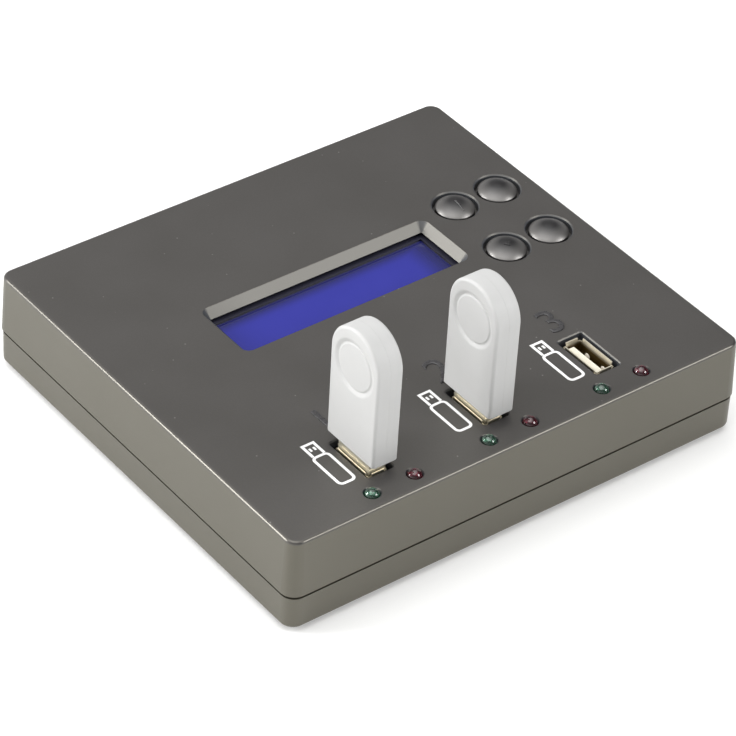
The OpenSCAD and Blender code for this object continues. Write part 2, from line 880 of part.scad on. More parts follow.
module display_pins() {
    row_l = (display_pin_count - 1) * pin_pitch;
    y = window_y + display_board_d / 2 - display_pin_inset;
    high = display_board_z - display_board_t;
    color(gold)
    for (i = [0 : display_pin_count - 1])
        translate([window_x - row_l / 2 + i * pin_pitch - display_pin_w / 2, y, board_top_z])
            cube([display_pin_w, display_pin_w, high - board_top_z]);
}

// Buttons

module cap_section() {
    lean = atan2(rim_z - dome_z, rim_x);
    intersection() {
        translate([0, dome_z]) circle(dome_r, $fn = 256);
        translate([0, cap_under_z]) square([dome_r * cos(lean), cap_r]);
    }
    intersection() {
        translate([rim_x, rim_z]) circle(cap_rim_r);
        translate([0, cap_under_z]) square(cap_r);
    }
    translate([rim_x, cap_under_z]) square([cap_rim_r, rim_z - cap_under_z]);
    translate([cap_r - cap_t, flange_bottom_z]) square([cap_t, rim_z - flange_bottom_z]);
    translate([cap_r, flange_bottom_z]) square([flange_r - cap_r, cap_t]);
    translate([0, plunger_top_z]) square([stem_d / 2, cap_edge_z - plunger_top_z]);
}

module button_cap(x, y) {
    color(case_grey)
    translate([x, y, 0]) rotate_extrude($fn = 128) cap_section();
}

module switch_body(x, y) {
    leg_w = 0.7;
    leg_l = 0.8;
    leg_h = 0.6;
    bore_low = switch_h - plunger_hold - button_travel - plunger_clear;
    color(plastic_black)
    translate([x, y, board_top_z]) {
        difference() {
            translate([-switch_w / 2, -switch_w / 2, 0]) cube([switch_w, switch_w, switch_h]);
            upright(plunger_d + 2 * plunger_clear, bore_low, switch_h + over);
        }
        for (side_x = [-1, 1], side_y = [-1, 1])
            translate([side_x * (switch_w + leg_l) / 2 - leg_l / 2, side_y * switch_w / 3 - leg_w / 2, 0])
                cube([leg_l, leg_w, leg_h]);
    }
}

module switch_plunger(x, y) {
    color(ivory)
    translate([x, y, 0]) upright(plunger_d, board_top_z + switch_h - plunger_hold, plunger_top_z);
}

// Lights

module light_section() {
    r = light_d / 2;
    square([light_collar_d / 2, light_collar_h]);
    translate([0, light_collar_h]) square([r, light_h - r - light_collar_h]);
    pie([0, light_h - r], r, 0, 90);
}

module light(i, side, finish) {
    color(finish)
    translate([port_x(i) + side * light_offset, light_y, light_base_z])
        rotate_extrude() light_section();
}

module light_leads() {
    color(steel)
    at_lights()
        for (side = [-1, 1])
            translate([(side * lead_pitch - lead_w) / 2, -lead_w / 2, board_top_z])
                cube([lead_w, lead_w, light_base_z - board_top_z]);
}

module light_spacers() {
    bore = light_collar_d - 2 * spacer_wall;
    color(plastic_black)
    at_lights()
        difference() {
            upright(light_collar_d, board_top_z, light_base_z);
            upright(bore, board_top_z - over, light_base_z + over);
        }
}

// Memory sticks

module at_stick(i) {
    translate([port_x(i), port_y, stick_z(i)]) children();
}

// Outside of a stick: straight sides, a round top, and soft edges all round
module stick_outside() {
    linear_extrude(arch_z) rounded_rect(stick_t, stick_w, stick_edge_r);
    translate([0, 0, arch_z]) rotate([0, 90, 0]) rotate(90) rotate_extrude(angle = 180)
        intersection() {
            rounded_rect(stick_w, stick_t, stick_edge_r);
            translate([0, -stick_t]) square([stick_w, 2 * stick_t]);
        }
}

// Space inside a stick: the plug's slot, and room for the board
module stick_inside() {
    half_t = plug_t / 2 + fit;
    translate([-half_t, -plug_w / 2 - fit, -over])
        cube([2 * half_t, plug_w + 2 * fit, stick_floor + 2 * over]);
    translate([-half_t, -stick_room_w / 2, stick_floor])
        cube([2 * half_t, stick_room_w, stick_room_top - stick_floor]);
}

// Half of a stick's body, on the left (side = -1) or on the right (side = 1)
module stick_half(i, side) {
    color(stick_white)
    at_stick(i) mirror([side < 0 ? 1 : 0, 0, 0])
        difference() {
            intersection() {
                stick_outside();
                translate([0, -stick_w, -over]) cube([stick_t, 2 * stick_w, stick_h + 2 * over]);
            }
            stick_inside();
            translate([stick_t / 2 - dish_depth, 0, arch_z - dish_drop]) rotate([0, 90, 0])
                cylinder(d1 = dish_d - 2 * dish_slope, d2 = dish_d + 2 * dish_slope, h = 2 * dish_depth);
        }
}

module stick_plug_shell(i) {
    color(nickel)
    at_stick(i)
        difference() {
            translate([-plug_t / 2, -plug_w / 2, -plug_out]) cube([plug_t, plug_w, plug_out + plug_root]);
            translate([-plug_in_t / 2, -plug_in_w / 2, -plug_out - over])
                cube([plug_in_t, plug_in_w, plug_out + plug_root + 2 * over]);
            for (side = [-1, 1])
                translate([-plug_t, side * plug_in_w / 4 - plug_window_w / 2, plug_window_up - plug_out])
                    cube([2 * plug_t, plug_window_w, plug_window_h]);
        }
}

// Contact strips of a plug, flush in the face of its insulator
module plug_strips() {
    for (y = contact_places)
        translate([plug_contact_x, y - contact_w / 2, contact_stop - plug_out])
            cube([contact_t, contact_w, plug_out - contact_stop]);
}

module stick_plug_insulator(i) {
    side_gap = fit;
    far_x = plug_in_t / 2 - fit;
    color(plastic_black)
    at_stick(i)
        difference() {
            union() {
                translate([plug_contact_x, side_gap - plug_in_w / 2, fit - plug_out])
                    cube([far_x - plug_contact_x, plug_in_w - 2 * side_gap, plug_out + plug_root - fit]);
                translate([fit - plug_in_t / 2, side_gap - plug_in_w / 2, 0])
                    cube([far_x + plug_in_t / 2 - fit, plug_in_w - 2 * side_gap, plug_root]);
            }
            plug_strips();
        }
}

module stick_contacts(i) {
    color(gold) at_stick(i) plug_strips();
}

module stick_board(i) {
    color(board_green)
    at_stick(i) translate([-stick_board_t / 2, -stick_board_w / 2, plug_root])
        cube([stick_board_t, stick_board_w, stick_room_top - stick_board_gap - plug_root]);
}

module stick_chip(i) {
    middle_z = (plug_root + stick_room_top - stick_board_gap) / 2;
    color(plastic_black)
    at_stick(i) translate([stick_board_t / 2, -stick_chip_w / 2, middle_z - stick_chip_l / 2])
        cube([stick_chip_h, stick_chip_w, stick_chip_l]);
}

// Drawing, one piece at a time or all together

top_shell();
bottom_shell();
rubber_feet();
case_screws();
board_screws();
display_screws();
main_board();
controller_chip();
memory_chip();
clock_crystal();
capacitors();
voltage_regulator();
power_jack_body();
power_jack_pin();
socket_contacts();
display_board();
display_bezel();
display_glass();
display_backlight();
display_pins();
light_leads();
light_spacers();

for (i = [1 : 3]) {
    socket_shell(i);
    socket_insulator(i);
    light(i, -1, light_green);
    light(i, 1, light_red);
}

for (row = [["back", button_back_y], ["front", button_front_y]])
    for (column = [["left", button_left_x], ["right", button_right_x]]) {
        place = str(row[0], "_", column[0]);
        x = column[1];
        y = row[1];
        button_cap(x, y);
        switch_body(x, y);
        switch_plunger(x, y);
    }

for (i = [1, 2]) {
    stick = str("stick_", i);
    stick_half(i, -1);
    stick_half(i, 1);
    stick_plug_shell(i);
    stick_plug_insulator(i);
    stick_contacts(i);
    stick_board(i);
    stick_chip(i);
}
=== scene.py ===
# %% [markdown]
# A copier for memory sticks
#
# The object is a flat desk machine: a moulded case in two parts, a display, four push buttons,
# three sockets and six signal lights, with two sticks standing in the sockets. Its pieces come
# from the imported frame, in metres and in their places. The lesson gives every surface its finish,
# models again the pieces that need softer shapes, and adds a few small ones.

# %% Load the frame
import math

import bmesh
import bpy
from mathutils import Matrix, Vector


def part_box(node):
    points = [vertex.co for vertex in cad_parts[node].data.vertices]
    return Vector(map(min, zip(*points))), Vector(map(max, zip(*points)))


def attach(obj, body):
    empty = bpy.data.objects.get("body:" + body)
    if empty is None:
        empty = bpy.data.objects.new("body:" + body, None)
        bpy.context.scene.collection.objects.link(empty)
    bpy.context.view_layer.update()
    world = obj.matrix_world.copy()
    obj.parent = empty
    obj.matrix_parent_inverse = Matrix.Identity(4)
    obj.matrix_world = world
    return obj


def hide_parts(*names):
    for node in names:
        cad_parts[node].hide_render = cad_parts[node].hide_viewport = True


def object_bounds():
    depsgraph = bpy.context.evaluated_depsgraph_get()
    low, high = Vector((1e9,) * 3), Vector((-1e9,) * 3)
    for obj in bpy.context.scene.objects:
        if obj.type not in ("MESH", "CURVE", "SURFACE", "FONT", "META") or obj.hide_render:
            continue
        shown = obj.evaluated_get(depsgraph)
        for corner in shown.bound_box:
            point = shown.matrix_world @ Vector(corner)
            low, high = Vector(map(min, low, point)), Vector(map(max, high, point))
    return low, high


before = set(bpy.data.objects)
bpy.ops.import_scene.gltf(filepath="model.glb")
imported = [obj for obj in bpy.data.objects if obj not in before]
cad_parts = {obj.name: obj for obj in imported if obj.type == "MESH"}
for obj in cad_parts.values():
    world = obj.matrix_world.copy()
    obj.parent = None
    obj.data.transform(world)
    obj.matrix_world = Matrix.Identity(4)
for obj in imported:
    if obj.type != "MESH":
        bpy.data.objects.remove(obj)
cad_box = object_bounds()
MM = 0.001

# %% [markdown]
# The camera stands over the machine's near left corner and looks down at its deck. Its place,
# aim, roll and lens could be found by trial, but long straight edges fix all of them at once,
# so they were solved together from the case's edges. A long lens keeps those edges near parallel.

# %% Camera
camera_place = Vector((-463.4, -568.4, 590.4)) * MM
camera_aim = Vector((-14.83, -19.27, 27.80)) * MM
camera_roll = math.radians(3.485)
lens_length = 182.06
sensor_width = 36

camera = bpy.data.objects.new("camera", bpy.data.cameras.new("camera"))
camera.data.sensor_width = sensor_width
camera.data.lens = lens_length
towards_aim = (camera_aim - camera_place).to_track_quat("-Z", "Y").to_matrix().to_4x4()
level_camera = Matrix.Translation(camera_place) @ towards_aim
camera.matrix_world = level_camera @ Matrix.Rotation(camera_roll, 4, "Z")
bpy.context.scene.collection.objects.link(camera)
bpy.context.scene.camera = camera
bpy.context.scene.view_settings.view_transform = "Standard"
print("camera: %.0f mm from its aim" % ((camera_aim - camera_place).length / MM))

# %% [markdown]
# The room is a plain studio: white near the horizon, grey half way up and white again overhead.
# So upright walls and level tops look bright, while the deck mirrors the grey part and stays dark,
# as it does on satin plastic. The wall on the left is the whiter one. A sky picture could do this,
# but a ramp on the direction's height, made weaker towards the right, needs no file.

# %% Studio sky
horizon = 0.0
grey_from = math.sin(math.radians(30))
grey_to = math.sin(math.radians(48))
overhead = 0.92
sky_levels = {horizon: 0.88, grey_from: 0.32, grey_to: 0.40, overhead: 3.4}
white_wall = Vector((-0.9, 0.43, 0))
right_share = 0.05
left_share = 1.45


def add_node(tree, kind, inputs=None, **settings):
    """Adds a node with its own settings. An input takes a value, or the output that feeds it."""
    node = tree.nodes.new("ShaderNode" + kind)
    for name, value in settings.items():
        setattr(node, name, value)
    for name, value in (inputs or {}).items():
        if isinstance(value, bpy.types.NodeSocket):
            tree.links.new(value, node.inputs[name])
        else:
            node.inputs[name].default_value = value
    return node


world = bpy.data.worlds.new("studio")
world.use_nodes = True
bpy.context.scene.world = world
tree = world.node_tree
direction = add_node(tree, "TexCoord").outputs["Generated"]
height = add_node(tree, "SeparateXYZ", {"Vector": direction}).outputs["Z"]
sky = add_node(tree, "ValToRGB", {"Fac": height})
steps = sky.color_ramp.elements
while len(steps) < len(sky_levels):
    steps.new(1.0)
for step, (place, level) in zip(steps, sky_levels.items()):
    step.position = place
    step.color = (level, level, level, 1)
leftness = add_node(tree, "VectorMath", {0: direction, 1: white_wall}, operation="DOT_PRODUCT")
share = add_node(tree, "MapRange", {"Value": leftness.outputs["Value"], "From Min": -1.0,
                                    "From Max": 1.0, "To Min": right_share, "To Max": left_share})
tree.links.new(sky.outputs["Color"], tree.nodes["Background"].inputs["Color"])
tree.links.new(share.outputs["Result"], tree.nodes["Background"].inputs["Strength"])
print("sky:", len(sky_levels), "levels from the horizon to overhead")

# %% [markdown]
# Two soft boxes stand left and right of the machine, as on a table for small goods. Each one shows
# as a bright spot on every dome and as a line on every edge that faces it. Lamps could be set in
# watts by trial, but here their power is worked out from the light that each should put on a surface
# facing it, where 1 shows a colour as it is written.

# %% Soft boxes
lamp_spread = 0.4


def add_soft_box(name, direction, distance, share):
    """Adds a square lamp that gives this share of plain light to a surface facing it."""
    lamp = bpy.data.lights.new(name, "AREA")
    lamp.size = lamp_spread * distance
    lamp.energy = share * math.pi ** 2 * distance ** 2
    place = Vector(direction).normalized() * distance
    turn = (-place).to_track_quat("-Z", "Y").to_matrix().to_4x4()
    box = bpy.data.objects.new(name, lamp)
    box.matrix_world = Matrix.Translation(place) @ turn
    bpy.context.scene.collection.objects.link(box)
    print("lamp:", name, "%.1f W" % lamp.energy)


add_soft_box("left_soft_box", direction=(-0.76, 0.50, 0.41), distance=1.0, share=0.77)
add_soft_box("right_soft_box", direction=(0.50, -0.71, 0.50), distance=2.0, share=0.46)

# %% [markdown]
# The floor is a wide pale sheet under the feet. Lit paper alone would come out light grey, and
# more light would wash out the machine, so a little glow, seen by the camera and in reflections
# only, lifts the sheet to white and leaves the shadow on it.

# %% Floor
floor_reach = 4.0
floor_drop = 0.02 * MM
floor_glow = 0.14


def linear(code):
    """Turns an sRGB hex colour into the linear colour that shaders take."""
    parts = [int(code[i:i + 2], 16) / 255 for i in (1, 3, 5)]
    return [p / 12.92 if p <= 0.04045 else ((p + 0.055) / 1.055) ** 2.4 for p in parts] + [1.0]


paper = bpy.data.materials.new("white_backdrop_paper")
paper.use_nodes = True
tree = paper.node_tree
sheet = tree.nodes["Principled BSDF"]
sheet.inputs["Base Color"].default_value = linear("#EFEFEE")
sheet.inputs["Roughness"].default_value = 0.9
sheet.inputs["Specular IOR Level"].default_value = 0.1
ray = add_node(tree, "LightPath")
seen = add_node(tree, "Math", {0: ray.outputs["Is Camera Ray"], 1: ray.outputs["Is Glossy Ray"]})
seen = add_node(tree, "Math", {0: seen.outputs["Value"], 1: ray.outputs["Is Transmission Ray"]})
lift = add_node(tree, "Math", {0: seen.outputs["Value"], 1: floor_glow}, operation="MULTIPLY")
sheet.inputs["Emission Color"].default_value = (1, 1, 1, 1)
tree.links.new(lift.outputs["Value"], sheet.inputs["Emission Strength"])

bm = bmesh.new()
bmesh.ops.create_grid(bm, x_segments=1, y_segments=1, size=floor_reach)
bmesh.ops.translate(bm, verts=bm.verts, vec=(0, 0, cad_box[0].z - floor_drop))
floor_mesh = bpy.data.meshes.new("floor")
bm.to_mesh(floor_mesh)
bm.free()
floor_mesh.materials.append(paper)
floor = bpy.data.objects.new("floor", floor_mesh)
bpy.context.scene.collection.objects.link(floor)
print("floor: %.1f m wide" % (2 * floor_reach))

# %% [markdown]
# The case is moulded in grey ABS, in a mould whose walls were spark-eroded to a fine grain. To the
# eye that is a satin surface with a soft sparkle, faint smudges from hands, and a few specks of
# dust. The real grain is near a tenth of a millimetre, too fine to show, so it is drawn at 0.45 mm.

# %% Textured ABS of the case
def start_finish(name):
    """Starts a material, and gives its tree, its shader and the coordinates that patterns read."""
    material = bpy.data.materials.new(name)
    material.use_nodes = True
    tree = material.node_tree
    place = add_node(tree, "TexCoord").outputs["Object"]
    return material, tree, tree.nodes["Principled BSDF"], place


def per(size):
    """The texture scale whose features are about this many millimetres wide."""
    return 1 / (size * MM)


def settle(shader, **values):
    """Sets the shader's plain numbers and colours, with underscores for spaces."""
    for name, value in values.items():
        shader.inputs[name.replace("_", " ")].default_value = value


case_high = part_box("top_shell")[1]
deck_top = case_high.z
grain_width = 0.45
smudge_width = 22
dust_spacing = 5
grain_depth = 0.02 * MM

case_abs, tree, shader, place = start_finish("spark_eroded_grey_abs")
settle(shader, IOR=1.62, Specular_IOR_Level=0.85, Specular_Tint=(1.0, 0.95, 0.82, 1.0))
grain = add_node(tree, "TexNoise", {"Vector": place, "Scale": per(grain_width), "Detail": 2.0})
smudge = add_node(tree, "TexNoise", {"Vector": place, "Scale": per(smudge_width), "Detail": 5.0})
dust = add_node(tree, "TexVoronoi", {"Vector": place, "Scale": per(dust_spacing)})
tone = add_node(tree, "MapRange", {"Value": smudge.outputs["Fac"], "From Min": 0.35, "From Max": 0.65})
colour = add_node(tree, "Mix", {0: tone.outputs["Result"], 6: linear("#2F2E30"), 7: linear("#353436")},
                  data_type="RGBA")
sparkle = add_node(tree, "MapRange", {"Value": grain.outputs["Fac"], "From Min": 0.25, "From Max": 0.75,
                                      "To Min": 0.88, "To Max": 1.12})
colour = add_node(tree, "VectorMath", {0: colour.outputs[2], "Scale": sparkle.outputs["Result"]},
                  operation="SCALE")
speck = add_node(tree, "MapRange", {"Value": dust.outputs["Distance"], "From Min": 0.025,
                                    "From Max": 0.05, "To Min": 0.35, "To Max": 0.0})
colour = add_node(tree, "Mix", {0: speck.outputs["Result"], 6: colour.outputs["Vector"],
                                7: linear("#B4B2AE")}, data_type="RGBA")
gloss = add_node(tree, "MapRange", {"Value": smudge.outputs["Fac"], "From Min": 0.3, "From Max": 0.7,
                                    "To Min": 0.43, "To Max": 0.38})
bump = add_node(tree, "Bump", {"Height": grain.outputs["Fac"], "Strength": 0.25, "Distance": grain_depth})
tree.links.new(bump.outputs["Normal"], shader.inputs["Normal"])
print("finish:", case_abs.name)

# %% [markdown]
# One moulding shows several surfaces. The side walls were drawn from the mould, which left them
# glossier than the eroded deck; they are also coloured lighter and warmer than the deck, a painted
# warm reflection. Hands and cloths rub the top edge smooth, so it shows the lamps as a thin bright
# line, while nothing touches the bevels of the window and the holes. Those bevels are coloured a
# lighter grey, a painted highlight of the lamps they face.
# Several materials could cover them, but masks from the height and from the distance to the outer
# walls keep one finish for the one moulding.

# %% Walls, edges and bevels of the case
edge_margin = 3 * MM
margin_blend = 1 * MM
edge_depth = 0.8 * MM
edge_blend = 0.2 * MM
deck_depth = 0.06 * MM
deck_blend = 0.08 * MM
deck_roughness = 0.47
bevel_roughness = 0.43
edge_roughness = 0.30
# The bevels' lighter grey is a painted highlight of the lamps that they face.
bevel_painted_highlight = linear("#404349")
# The walls' lighter, warmer grey is a painted warm reflection.
wall_painted_reflection = linear("#3D3B32")

axes = add_node(tree, "SeparateXYZ", {"Vector": place})


def below(height, blend):
    """A mask that is 1 below this height and fades out across the blend."""
    return add_node(tree, "MapRange", {"Value": axes.outputs["Z"], "From Min": height - blend / 2,
                                       "From Max": height + blend / 2, "To Min": 1.0,
                                       "To Max": 0.0}).outputs["Result"]


def near(axis, reach):
    """A mask that is 1 close to the two outer walls across this axis."""
    away = add_node(tree, "Math", {0: axes.outputs[axis]}, operation="ABSOLUTE")
    return add_node(tree, "MapRange", {"Value": away.outputs["Value"], "From Min": reach - edge_margin,
                                       "From Max": reach - edge_margin + margin_blend}).outputs["Result"]


below_deck = below(deck_top - deck_depth, deck_blend)
below_edge = below(deck_top - edge_depth, edge_blend)
near_wall = add_node(tree, "Math", {0: near("X", case_high.x), 1: near("Y", case_high.y)},
                     operation="MAXIMUM").outputs["Value"]


def by_surface(kind, first, second, output, deck, bevel, edge, wall):
    """Gives each surface of the case its own value of one kind, through Mix's sockets of that kind."""
    outer = add_node(tree, "Mix", {0: below_edge, first: edge, second: wall}, data_type=kind)
    lower = add_node(tree, "Mix", {0: near_wall, first: bevel, second: outer.outputs[output]},
                     data_type=kind)
    return add_node(tree, "Mix", {0: below_deck, first: deck, second: lower.outputs[output]},
                    data_type=kind).outputs[output]


shine = by_surface("FLOAT", 2, 3, 0, deck_roughness, bevel_roughness, edge_roughness,
                   gloss.outputs["Result"])
colour = by_surface("RGBA", 6, 7, 2, colour.outputs[2], bevel_painted_highlight, colour.outputs[2], wall_painted_reflection)
tree.links.new(colour, shader.inputs["Base Color"])
tree.links.new(shine, shader.inputs["Roughness"])
print("walls: up to %.1f mm from the outside" % (edge_margin / MM))

# %% [markdown]
# The button caps are dark grey ABS. Down each dome the colour turns light grey and metallic, a painted
# sheen that makes the rim mirror both lamps brightly, while the top stays dull and dark. They could
# share the case's finish, but then they would lose the bright rims that show they are round. So the
# sheen fades in down the dome.

# %% Grey ABS of the buttons, with painted sheen on the rims
cap_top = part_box("button_cap_front_left")[1].z
rub_width = 2.5
sheen_free_depth = 0.2 * MM
sheen_full_depth = 2.0 * MM

button_abs, tree, shader, place = start_finish("grey_abs_painted_rim_sheen")
rub = add_node(tree, "TexNoise", {"Vector": place, "Scale": per(rub_width), "Detail": 4.0})
dome_grey = add_node(tree, "Mix", {0: rub.outputs["Fac"], 6: linear("#1D1C1D"), 7: linear("#282728")},
                data_type="RGBA")
gloss = add_node(tree, "MapRange", {"Value": rub.outputs["Fac"], "To Min": 0.36, "To Max": 0.46})
height = add_node(tree, "SeparateXYZ", {"Vector": place}).outputs["Z"]
# Painted sheen: 1 low on the dome and down the sides, where the colour turns light grey and metallic.
rim_sheen = add_node(tree, "MapRange", {"Value": height, "From Min": cap_top - sheen_full_depth,
                                    "From Max": cap_top - sheen_free_depth, "To Min": 1.0, "To Max": 0.0})
colour = add_node(tree, "Mix", {0: rim_sheen.outputs["Result"], 6: dome_grey.outputs[2], 7: linear("#8A8886")},
                  data_type="RGBA")
tree.links.new(colour.outputs[2], shader.inputs["Base Color"])
tree.links.new(rim_sheen.outputs["Result"], shader.inputs["Metallic"])
tree.links.new(gloss.outputs["Result"], shader.inputs["Roughness"])
print("finish:", button_abs.name)

# %% [markdown]
# The sticks are moulded in white ABS from a finely blasted mould. Near white, the eye reads shape from
# small changes of shade, so the colour stays just under white and the surface only a little glossy.
# A slow drift of tone, as the plastic shows where it flowed in the mould, keeps it from looking flat.

# %% Satin white ABS of the sticks
flow_width = 9

stick_abs, tree, shader, place = start_finish("satin_white_abs")
settle(shader, IOR=1.50)
flow = add_node(tree, "TexNoise", {"Vector": place, "Scale": per(flow_width), "Detail": 3.0})
colour = add_node(tree, "Mix", {0: flow.outputs["Fac"], 6: linear("#BBBBBA"), 7: linear("#C3C3C2")},
                  data_type="RGBA")
gloss = add_node(tree, "MapRange", {"Value": flow.outputs["Fac"], "To Min": 0.48, "To Max": 0.58})
tree.links.new(colour.outputs[2], shader.inputs["Base Color"])
tree.links.new(gloss.outputs["Result"], shader.inputs["Roughness"])
print("finish:", stick_abs.name)

# %% [markdown]
# Contacts, pins and screws are plated metal, gold or zinc. Their strip and wire were rolled and drawn
# before plating, so the plating keeps faint streaks along their length. Each could have a material of
# its own, but one function makes both from a stretched noise, because only the numbers differ.

# %% Plated metals
shine_spread = 0.12


def plated(name, dark, light, shine, streak_width, streak_length):
    """A plated metal with rolling streaks along Z, measured in millimetres."""
    material, tree, shader, place = start_finish(name)
    settle(shader, Metallic=1.0)
    stretch = (per(streak_width), per(streak_width), per(streak_length))
    along = add_node(tree, "Mapping", {"Vector": place, "Scale": stretch})
    streak = add_node(tree, "TexNoise", {"Vector": along.outputs["Vector"], "Scale": 1.0,
                                         "Detail": 3.0})
    colour = add_node(tree, "Mix", {0: streak.outputs["Fac"], 6: linear(dark), 7: linear(light)},
                      data_type="RGBA")
    rough = add_node(tree, "MapRange", {"Value": streak.outputs["Fac"], "To Min": shine,
                                        "To Max": shine + shine_spread})
    tree.links.new(colour.outputs[2], shader.inputs["Base Color"])
    tree.links.new(rough.outputs["Result"], shader.inputs["Roughness"])
    print("finish:", name)
    return material


gold = plated("flash_gold_plate", "#C79A45", "#E6C173", 0.15, 0.3, 3)
zinc = plated("zinc_plated_steel", "#A09C94", "#C6C2BA", 0.28, 0.4, 0.8)

# %% [markdown]
# The sheet of sockets and plugs is nickel-plated to a creamy satin. It scatters some light, so it
# stays pale even where it faces the dark deck. Deep in a socket the sheet turns dark brown, a painted
# shade of the socket's depth, while the spring tips down there turn near white, a painted highlight,
# and a plug is pale all over. So one function makes the three, and takes the colour of the sheet below
# the deck and how much of it mirrors like metal.

# %% Nickel plate of sockets and plugs
pale_above = deck_top - 0.5 * MM
inside_below = deck_top - 2.2 * MM
plate_mottle = 0.7


def satin_nickel(name, inside, metal):
    """A nickel plate that turns to another colour below the deck."""
    material, tree, shader, place = start_finish(name)
    settle(shader, Metallic=metal, Roughness=0.32)
    cloud = add_node(tree, "TexNoise", {"Vector": place, "Scale": per(plate_mottle), "Detail": 3.0})
    plate = add_node(tree, "Mix", {0: cloud.outputs["Fac"], 6: linear("#E2D9BF"), 7: linear("#F6F0DF")},
                     data_type="RGBA")
    height = add_node(tree, "SeparateXYZ", {"Vector": place}).outputs["Z"]
    raised = add_node(tree, "MapRange", {"Value": height, "From Min": inside_below,
                                         "From Max": pale_above})
    colour = add_node(tree, "Mix", {0: raised.outputs["Result"], 6: linear(inside),
                                    7: plate.outputs[2]}, data_type="RGBA")
    tree.links.new(colour.outputs[2], shader.inputs["Base Color"])
    print("finish:", name)
    return material


# Painted shade: below the deck the socket sheet turns dark brown.
socket_nickel_painted_shade = satin_nickel("satin_nickel_plate_painted_shade", "#5A4824", 0.65)
plug_nickel = satin_nickel("pale_nickel_plate", "#E9E1CA", 0.65)
# Painted highlight: the spring tips, deep below the deck, are near white.
tip_nickel_painted_bright = satin_nickel("nickel_plate_painted_bright", "#FFF9EC", 0.1)

# %% [markdown]
# The other plastics, the rubber, the ink and the circuit boards are plain moulded or coated surfaces.
# Each could have its own cell, but what tells them apart is only colour, shine and the size of their
# mottle, so they too share one function.

# %% Moulded and coated surfaces
def moulded(name, dark, light, rough, mottle):
    """A moulded or coated surface, mottled at this size in millimetres."""
    material, tree, shader, place = start_finish(name)
    cloud = add_node(tree, "TexNoise", {"Vector": place, "Scale": per(mottle), "Detail": 3.0})
    colour = add_node(tree, "Mix", {0: cloud.outputs["Fac"], 6: linear(dark), 7: linear(light)},
                      data_type="RGBA")
    shine = add_node(tree, "MapRange", {"Value": cloud.outputs["Fac"], "To Min": rough,
                                        "To Max": rough + shine_spread})
    tree.links.new(colour.outputs[2], shader.inputs["Base Color"])
    tree.links.new(shine.outputs["Result"], shader.inputs["Roughness"])
    print("finish:", name)
    return material


ivory = moulded("natural_polyester_moulding", "#E2DCC8", "#F0EBDB", 0.35, 1.5)
resin_black = moulded("black_moulding_resin", "#121214", "#1C1C1F", 0.50, 0.6)
solder_mask = moulded("green_solder_mask", "#14482A", "#1B5C36", 0.32, 1.2)
rubber = moulded("moulded_black_rubber", "#151516", "#222224", 0.70, 0.7)
ink = moulded("white_print_ink", "#E6E6E4", "#F4F4F3", 0.55, 0.6)
rubbed_abs = moulded("rubbed_grey_abs", "#3A393A", "#434243", 0.22, 0.8)

# %% [markdown]
# The frame round the display is sheet steel, lacquered black after bending. Its level top is coloured
# grey as a painted reflection of the room, while the upright sides stay black. Two materials could
# show that, but one lacquer covers both, so the colour changes with the height only.

# %% Lacquered steel of the display frame
bezel_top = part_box("display_bezel")[1].z
peel_width = 0.8
side_below = bezel_top - 0.06 * MM
flat_above = bezel_top - 0.02 * MM

lacquer, tree, shader, place = start_finish("black_lacquered_steel")
height = add_node(tree, "SeparateXYZ", {"Vector": place}).outputs["Z"]
# Painted reflection: the level top takes a grey, the upright sides black.
top_painted_reflection = add_node(tree, "MapRange", {"Value": height, "From Min": side_below, "From Max": flat_above})
peel = add_node(tree, "TexNoise", {"Vector": place, "Scale": per(peel_width), "Detail": 3.0})
colour = add_node(tree, "Mix", {0: top_painted_reflection.outputs["Result"], 6: linear("#08080A"),
                                7: linear("#30303C")}, data_type="RGBA")
rough = add_node(tree, "MapRange", {"Value": peel.outputs["Fac"], "To Min": 0.28, "To Max": 0.40})
tree.links.new(colour.outputs[2], shader.inputs["Base Color"])
tree.links.new(rough.outputs["Result"], shader.inputs["Roughness"])
print("finish:", lacquer.name)

# %% [markdown]
# The display is a blue liquid crystal cell under a glass sheet, and its lamp makes it glow a little.
# The blue sinks to navy at the back, and a little at the right: painted shade of the window's walls,
# in the colour and the glow alike. A picture could paint this, but two fades measured from the glass
# hold their size at any zoom.

# %% Display glass
view_half = Vector((32.25, 7.1, 0)) * MM
back_fade = 4.5 * MM
side_fade = 9.0 * MM
drift_width = 9
glass_low, glass_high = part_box("display_glass")
glass_middle = (glass_low + glass_high) / 2

display, tree, shader, place = start_finish("blue_liquid_crystal_glass")
settle(shader, Roughness=0.22, IOR=1.52, Coat_Weight=1.0, Coat_Roughness=0.03, Emission_Strength=0.22)
centred = add_node(tree, "Mapping", {"Vector": place, "Location": -glass_middle}).outputs["Vector"]
axes = add_node(tree, "SeparateXYZ", {"Vector": centred})
# Painted shade: both fades turn the blue to navy along the back and right borders.
back_painted_shade = add_node(tree, "MapRange", {"Value": axes.outputs["Y"], "From Min": view_half.y - back_fade,
                                        "From Max": view_half.y}, interpolation_type="SMOOTHSTEP")
right_painted_shade = add_node(tree, "MapRange", {"Value": axes.outputs["X"], "From Min": view_half.x - side_fade,
                                        "From Max": view_half.x}, interpolation_type="SMOOTHSTEP")
dark = add_node(tree, "Math", {0: back_painted_shade.outputs["Result"], 1: right_painted_shade.outputs["Result"]},
                operation="MAXIMUM")
drift = add_node(tree, "TexNoise", {"Vector": centred, "Scale": per(drift_width), "Detail": 2.0})
lit = add_node(tree, "Mix", {0: drift.outputs["Fac"], 6: linear("#232684"), 7: linear("#282B8B")},
               data_type="RGBA")
blue = add_node(tree, "Mix", {0: dark.outputs["Value"], 6: lit.outputs[2], 7: linear("#16184E")},
                data_type="RGBA")
tree.links.new(blue.outputs[2], shader.inputs["Base Color"])
tree.links.new(blue.outputs[2], shader.inputs["Emission Color"])
